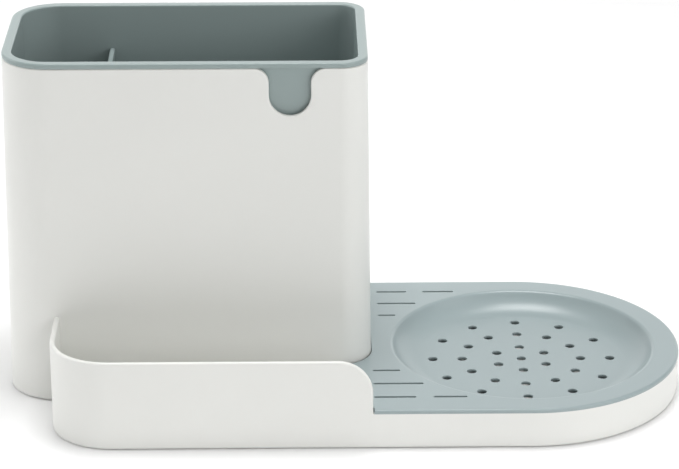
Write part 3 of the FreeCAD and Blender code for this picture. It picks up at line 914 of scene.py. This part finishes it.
def upside_down():
    """Whether the selected faces look down."""
    grid = bmesh.from_edit_mesh(bpy.context.edit_object.data)
    return sum(face.normal.z * face.calc_area() for face in grid.faces if face.select) < 0


def tray_sheet():
    """The plate with its dish, thickened downwards, and its outer edge."""
    tray = sizes().tray
    top = TRAY_HIGH.z
    rings = dish_section()
    piece = new_piece("tray_plate")
    join_rings(piece, [lambda r=radius, z=level: draw_circle(r, z) for radius, level in rings],
               cap_first=False)
    draw_outline(plate_corners(), flat(top), PLATE_SEGMENTS)
    bpy.ops.mesh.reveal(select=False)
    brim = rings[0][0]
    centre = Vector((dish_x(), 0))

    def rings_to_fill(edge):
        outside = all((vertex.co.xy - centre).length > brim - TOUCH for vertex in edge.verts)
        return at_level(edge, top) and outside

    pick("EDGE", rings_to_fill)
    bpy.ops.mesh.fill(use_beauty=True)
    bpy.ops.mesh.select_all(action="SELECT")
    bpy.ops.mesh.remove_doubles(threshold=MERGE)
    bpy.ops.mesh.normals_make_consistent(inside=False)
    pick("FACE", lambda face: at_level(face, top))
    if upside_down():
        bpy.ops.mesh.select_all(action="SELECT")
        bpy.ops.mesh.flip_normals()
    activate(piece, "OBJECT")
    bpy.ops.object.modifier_add(type="SOLIDIFY")
    sheet = piece.modifiers[-1]
    sheet.thickness = tray.gauge
    sheet.offset = -1
    sheet.use_even_offset = True
    bpy.ops.object.modifier_apply(modifier=sheet.name)
    clean(piece)
    soften(piece, tray.edge, BROAD,
           lambda e: at_level(e, top) and all(on_the_end(vertex.co) for vertex in e.verts))
    return piece


def add_skirt(piece):
    """Adds the skirt below the plate, which keeps the tray inside the low wall."""
    tray = sizes().tray
    top = TRAY_HIGH.z
    inset = sizes().base.wall + tray.gap
    inner = inset + tray.skirt
    leg = step_x() + tray.gap + tray.skirt
    skirt = upright_prism("skirt", end_corners(leg, inset), top - tray.gauge - tray.skirt_depth,
                          top - tray.gauge / 2, END_SEGMENTS)
    hollow = upright_prism("skirt_hollow", end_corners(leg - OVERSHOOT, inner), top - OVERSHOOT, top,
                           END_SEGMENTS)
    combine(skirt, hollow, "DIFFERENCE")
    combine(piece, skirt, "UNION")


def cut_drains(piece):
    """Cuts the dish's holes, widened from below, and the plate's slots, and softens their edges."""
    tray = sizes().tray
    top = TRAY_HIGH.z
    floor = top - tray.dish_depth
    centres = drain_centres()
    hole = disc("hole", centres[0], tray.hole / 2, floor - OVERSHOOT, floor + tray.gauge, HOLE_VERTICES)
    half = tray.slot / 2
    cutters = repeat(hole, centres)
    for start, stop, row in slot_spans():
        corners = box_corners(start, stop, row - half, row + half, half)
        cutters.append(upright_prism("slot", corners, top - SLOT_REACH, top + tray.gauge, SLOT_SEGMENTS))
    combine(piece, gather("drains", cutters), "DIFFERENCE")
    relief = disc("relief", centres[0], tray.relief_hole / 2, floor - OVERSHOOT,
                  floor - tray.gauge + tray.relief, HOLE_VERTICES)
    combine(piece, gather("reliefs", repeat(relief, centres)), "DIFFERENCE")
    clean(piece)
    soften(piece, tray.hole_edge, FINE, lambda e: at_level(e, floor) and e.is_convex)
    soften(piece, tray.slot_edge, FINE, lambda e: at_level(e, top) and e.is_convex)


def model_tray():
    """The plate with its dish, holes and slots, and the skirt below it."""
    piece = tray_sheet()
    add_skirt(piece)
    cut_drains(piece)
    return piece


# The feet

FOOT_VERTICES = 64


def model_foot():
    """A soft round pad with a shallow hollow in its underside, at the first foot's place."""
    foot = sizes().foot
    low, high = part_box(FEET[0])
    piece = disc("foot_pad", foot_centres()[0], foot_radius(), low.z, high.z, FOOT_VERTICES)
    soften(piece, foot.edge, NARROW, lambda e: at_level(e, low.z))
    pick("FACE", lambda face: at_level(face, low.z))
    bpy.ops.mesh.inset(thickness=foot.land, depth=0)
    bpy.ops.mesh.inset(thickness=foot.dimple_side, depth=-foot.dimple)
    return piece


# Materials

DRIFT_SCALE, DRIFT_DETAIL, DRIFT_LOW, DRIFT_HIGH = 14.0, 3.0, 0.3, 0.7
GLOSS_SCALE, GLOSS_DETAIL, GLOSS_SPREAD = 55.0, 5.0, 0.1
GRAIN_DETAIL, GRAIN_STRENGTH = 2.0, 0.35
PLASTIC_IOR = 1.49


def noise(tree, scale, detail):
    """A noise over the piece's own coordinates."""
    where = tree.nodes.new("ShaderNodeTexCoord")
    made = tree.nodes.new("ShaderNodeTexNoise")
    made.inputs["Scale"].default_value = scale
    made.inputs["Detail"].default_value = detail
    tree.links.new(where.outputs["Object"], made.inputs["Vector"])
    return made.outputs["Fac"]


def plastic(name, tint, roughness, grain_size, grain_depth, drift):
    """A moulded plastic: fine grain in its surface, a slow drift of its colour and its gloss."""
    if name in bpy.data.materials:
        return bpy.data.materials[name]
    material = bpy.data.materials.new(name)
    material.use_nodes = True
    tree = material.node_tree
    shader = tree.nodes["Principled BSDF"]
    shader.inputs["IOR"].default_value = PLASTIC_IOR

    ramp = tree.nodes.new("ShaderNodeValToRGB")
    for stop, position, change in zip(ramp.color_ramp.elements, (DRIFT_LOW, DRIFT_HIGH), (-drift, drift)):
        stop.position = position
        stop.color = (*[min(1, part * (1 + change)) for part in tint], 1)
    tree.links.new(noise(tree, DRIFT_SCALE, DRIFT_DETAIL), ramp.inputs["Fac"])
    tree.links.new(ramp.outputs["Color"], shader.inputs["Base Color"])

    gloss = tree.nodes.new("ShaderNodeMapRange")
    gloss.inputs["To Min"].default_value = roughness * (1 - GLOSS_SPREAD)
    gloss.inputs["To Max"].default_value = roughness * (1 + GLOSS_SPREAD)
    tree.links.new(noise(tree, GLOSS_SCALE, GLOSS_DETAIL), gloss.inputs["Value"])
    tree.links.new(gloss.outputs["Result"], shader.inputs["Roughness"])

    bump = tree.nodes.new("ShaderNodeBump")
    bump.inputs["Strength"].default_value = GRAIN_STRENGTH
    bump.inputs["Distance"].default_value = grain_depth
    tree.links.new(noise(tree, 1 / grain_size, GRAIN_DETAIL), bump.inputs["Height"])
    tree.links.new(bump.outputs["Normal"], shader.inputs["Normal"])
    return material


def white_plastic():
    finish = sizes().finish
    return plastic("white_satin_plastic", finish.white, finish.white_roughness,
                   grain_size=0.9 * MM, grain_depth=0.02 * MM, drift=0.008)


def liner_plastic():
    finish = sizes().finish
    return plastic("liner_satin_plastic", finish.liner, finish.liner_roughness,
                   grain_size=0.8 * MM, grain_depth=0.02 * MM, drift=0.015)


def tray_plastic():
    finish = sizes().finish
    return plastic("tray_matte_plastic", finish.tray, finish.tray_roughness,
                   grain_size=0.5 * MM, grain_depth=0.03 * MM, drift=0.015)


def foot_rubber():
    finish = sizes().finish
    return plastic("foot_rubber", finish.rubber, finish.rubber_roughness,
                   grain_size=0.4 * MM, grain_depth=0.05 * MM, drift=0.05)


# Operators


class CADDY_OT_body(bpy.types.Operator):
    """Model the white body: sleeve, pan, low wall and sponge bay"""

    bl_idname = "sink_caddy.body"
    bl_label = "Body"

    def execute(self, context):
        dress(model_body(), "caddy_body", "caddy", white_plastic())
        return {"FINISHED"}


class CADDY_OT_liner(bpy.types.Operator):
    """Model the lift-out liner with its rim, guide ribs and drain holes"""

    bl_idname = "sink_caddy.liner"
    bl_label = "Liner"

    def execute(self, context):
        dress(model_liner(), "liner", "liner", liner_plastic())
        return {"FINISHED"}


class CADDY_OT_divider(bpy.types.Operator):
    """Model the loose divider in the liner"""

    bl_idname = "sink_caddy.divider"
    bl_label = "Divider"

    def execute(self, context):
        dress(model_divider(), "divider", "divider", liner_plastic())
        return {"FINISHED"}


class CADDY_OT_drip_tray(bpy.types.Operator):
    """Model the drip tray with its dish, drain holes, slots and skirt"""

    bl_idname = "sink_caddy.drip_tray"
    bl_label = "Drip Tray"

    def execute(self, context):
        dress(model_tray(), "drip_tray", "drip_tray", tray_plastic())
        return {"FINISHED"}


class CADDY_OT_feet(bpy.types.Operator):
    """Model the soft feet under the floor"""

    bl_idname = "sink_caddy.feet"
    bl_label = "Feet"

    def execute(self, context):
        pads = repeat(model_foot(), foot_centres())
        for name, pad in zip(FEET, pads):
            pad.name = f"{name}_pad"
            dress(pad, name, "caddy", foot_rubber())
        return {"FINISHED"}


# The soft lamps round the caddy: name, place, point that each looks at, width and height, power in watts
STUDIO_LAMPS = (
    ("overhead", (0.05, 0.12, 1.30), (0.03, 0.0, 0.0), (0.6, 0.6), 12.0),
    ("right_side", (1.15, -0.45, 0.75), (0.0, 0.0, 0.08), (0.7, 0.7), 2.2),
    ("right_middle", (0.75, -1.25, 0.60), (0.0, 0.0, 0.06), (1.2, 0.5), 4.1),
    ("right_low", (0.92, -1.17, 0.27), (0.0, 0.0, 0.06), (1.2, 0.4), 2.9),
    ("front_middle", (0.0, -1.45, 0.75), (0.0, 0.0, 0.06), (2.4, 0.5), 2.7),
    ("left_side", (-1.30, 0.10, 0.50), (0.0, 0.0, 0.06), (0.8, 0.6), 6.4),
    ("left_back", (-1.05, 0.70, 0.80), (0.0, 0.0, 0.08), (0.7, 0.7), 1.2),
    ("backdrop_low", (0.0, 1.60, 0.24), (0.0, 0.0, 0.24), (3.0, 0.44), 5.6),
    ("backdrop_high", (0.0, 1.60, 0.80), (0.0, 0.0, 0.80), (3.0, 0.68), 6.0),
)


def add_lamp(name, location, target, across, power):
    """A soft rectangular lamp that looks at a point and stays out of the picture itself."""
    leave_all()
    bpy.ops.object.light_add(type="AREA", location=location)
    lamp = bpy.context.object
    lamp.name = name
    lamp.data.shape = "RECTANGLE"
    lamp.data.size, lamp.data.size_y = across
    lamp.data.energy = power
    lamp.rotation_euler = (Vector(target) - Vector(location)).to_track_quat("-Z", "Y").to_euler()
    lamp.visible_camera = False


FLOOR_SIZE = 4.0
FLOOR_ROUGHNESS = 0.9
FLOOR_SHEEN = 0.1
SENSOR_WIDTH = 36


def lay_floor():
    """The plain floor that the caddy stands on."""
    leave_all()
    bpy.ops.mesh.primitive_plane_add(size=FLOOR_SIZE, location=(0, 0, 0))
    floor = bpy.context.object
    floor.name = "floor"
    paint = bpy.data.materials.new("floor_paint")
    paint.use_nodes = True
    shader = paint.node_tree.nodes["Principled BSDF"]
    shader.inputs["Base Color"].default_value = (*sizes().stage.floor, 1)
    shader.inputs["Roughness"].default_value = FLOOR_ROUGHNESS
    shader.inputs["Specular IOR Level"].default_value = FLOOR_SHEEN
    floor.data.materials.append(paint)


def light_room():
    """The even light of the room and the soft lamps."""
    world = bpy.data.worlds.new("room")
    world.use_nodes = True
    light = world.node_tree.nodes["Background"]
    light.inputs["Color"].default_value = (1, 1, 1, 1)
    light.inputs["Strength"].default_value = sizes().stage.ambient
    bpy.context.scene.world = world
    for lamp in STUDIO_LAMPS:
        add_lamp(*lamp)


def place_camera():
    """The camera that looks down on the caddy from the front."""
    stage = sizes().stage
    leave_all()
    bpy.ops.object.camera_add(location=stage.camera, rotation=(math.pi / 2 - stage.pitch, 0, -stage.yaw))
    camera = bpy.context.object
    camera.name = "camera"
    camera.data.sensor_fit = "HORIZONTAL"
    camera.data.sensor_width = SENSOR_WIDTH
    camera.data.lens = stage.lens
    bpy.context.scene.camera = camera
    bpy.context.scene.view_settings.view_transform = "Standard"


class CADDY_OT_stage(bpy.types.Operator):
    """Set the floor, the soft lights and the camera"""

    bl_idname = "sink_caddy.stage"
    bl_label = "Stage"

    def execute(self, context):
        lay_floor()
        light_room()
        place_camera()
        return {"FINISHED"}


PIECE_OPERATORS = (CADDY_OT_body, CADDY_OT_liner, CADDY_OT_divider, CADDY_OT_drip_tray, CADDY_OT_feet,
                   CADDY_OT_stage)


class CADDY_PT_sidebar(bpy.types.Panel):
    """Pieces of the caddy, in the order that they are modelled"""

    bl_label = "Sink Caddy"
    bl_idname = "CADDY_PT_sidebar"
    bl_space_type = "VIEW_3D"
    bl_region_type = "UI"
    bl_category = "Sink Caddy"

    def draw(self, context):
        for operator in PIECE_OPERATORS:
            self.layout.operator(operator.bl_idname)


CLASSES = (SleeveSizes, BaseSizes, LinerSizes, TraySizes, FootSizes, Finishes, StageSettings, CaddySettings,
           *PIECE_OPERATORS, CADDY_PT_sidebar)


def register():
    for kind in CLASSES:
        bpy.utils.register_class(kind)
    bpy.types.Scene.sink_caddy = PointerProperty(type=CaddySettings, name="Sink Caddy",
                                                 description="Sizes, finishes and stage of the caddy")


def unregister():
    del bpy.types.Scene.sink_caddy
    for kind in reversed(CLASSES):
        bpy.utils.unregister_class(kind)


def main():
    register()
    bpy.ops.sink_caddy.body()
    bpy.ops.sink_caddy.liner()
    bpy.ops.sink_caddy.divider()
    bpy.ops.sink_caddy.drip_tray()
    bpy.ops.sink_caddy.feet()
    bpy.ops.sink_caddy.stage()
    leave_all()


if __name__ == "__main__":
    main()
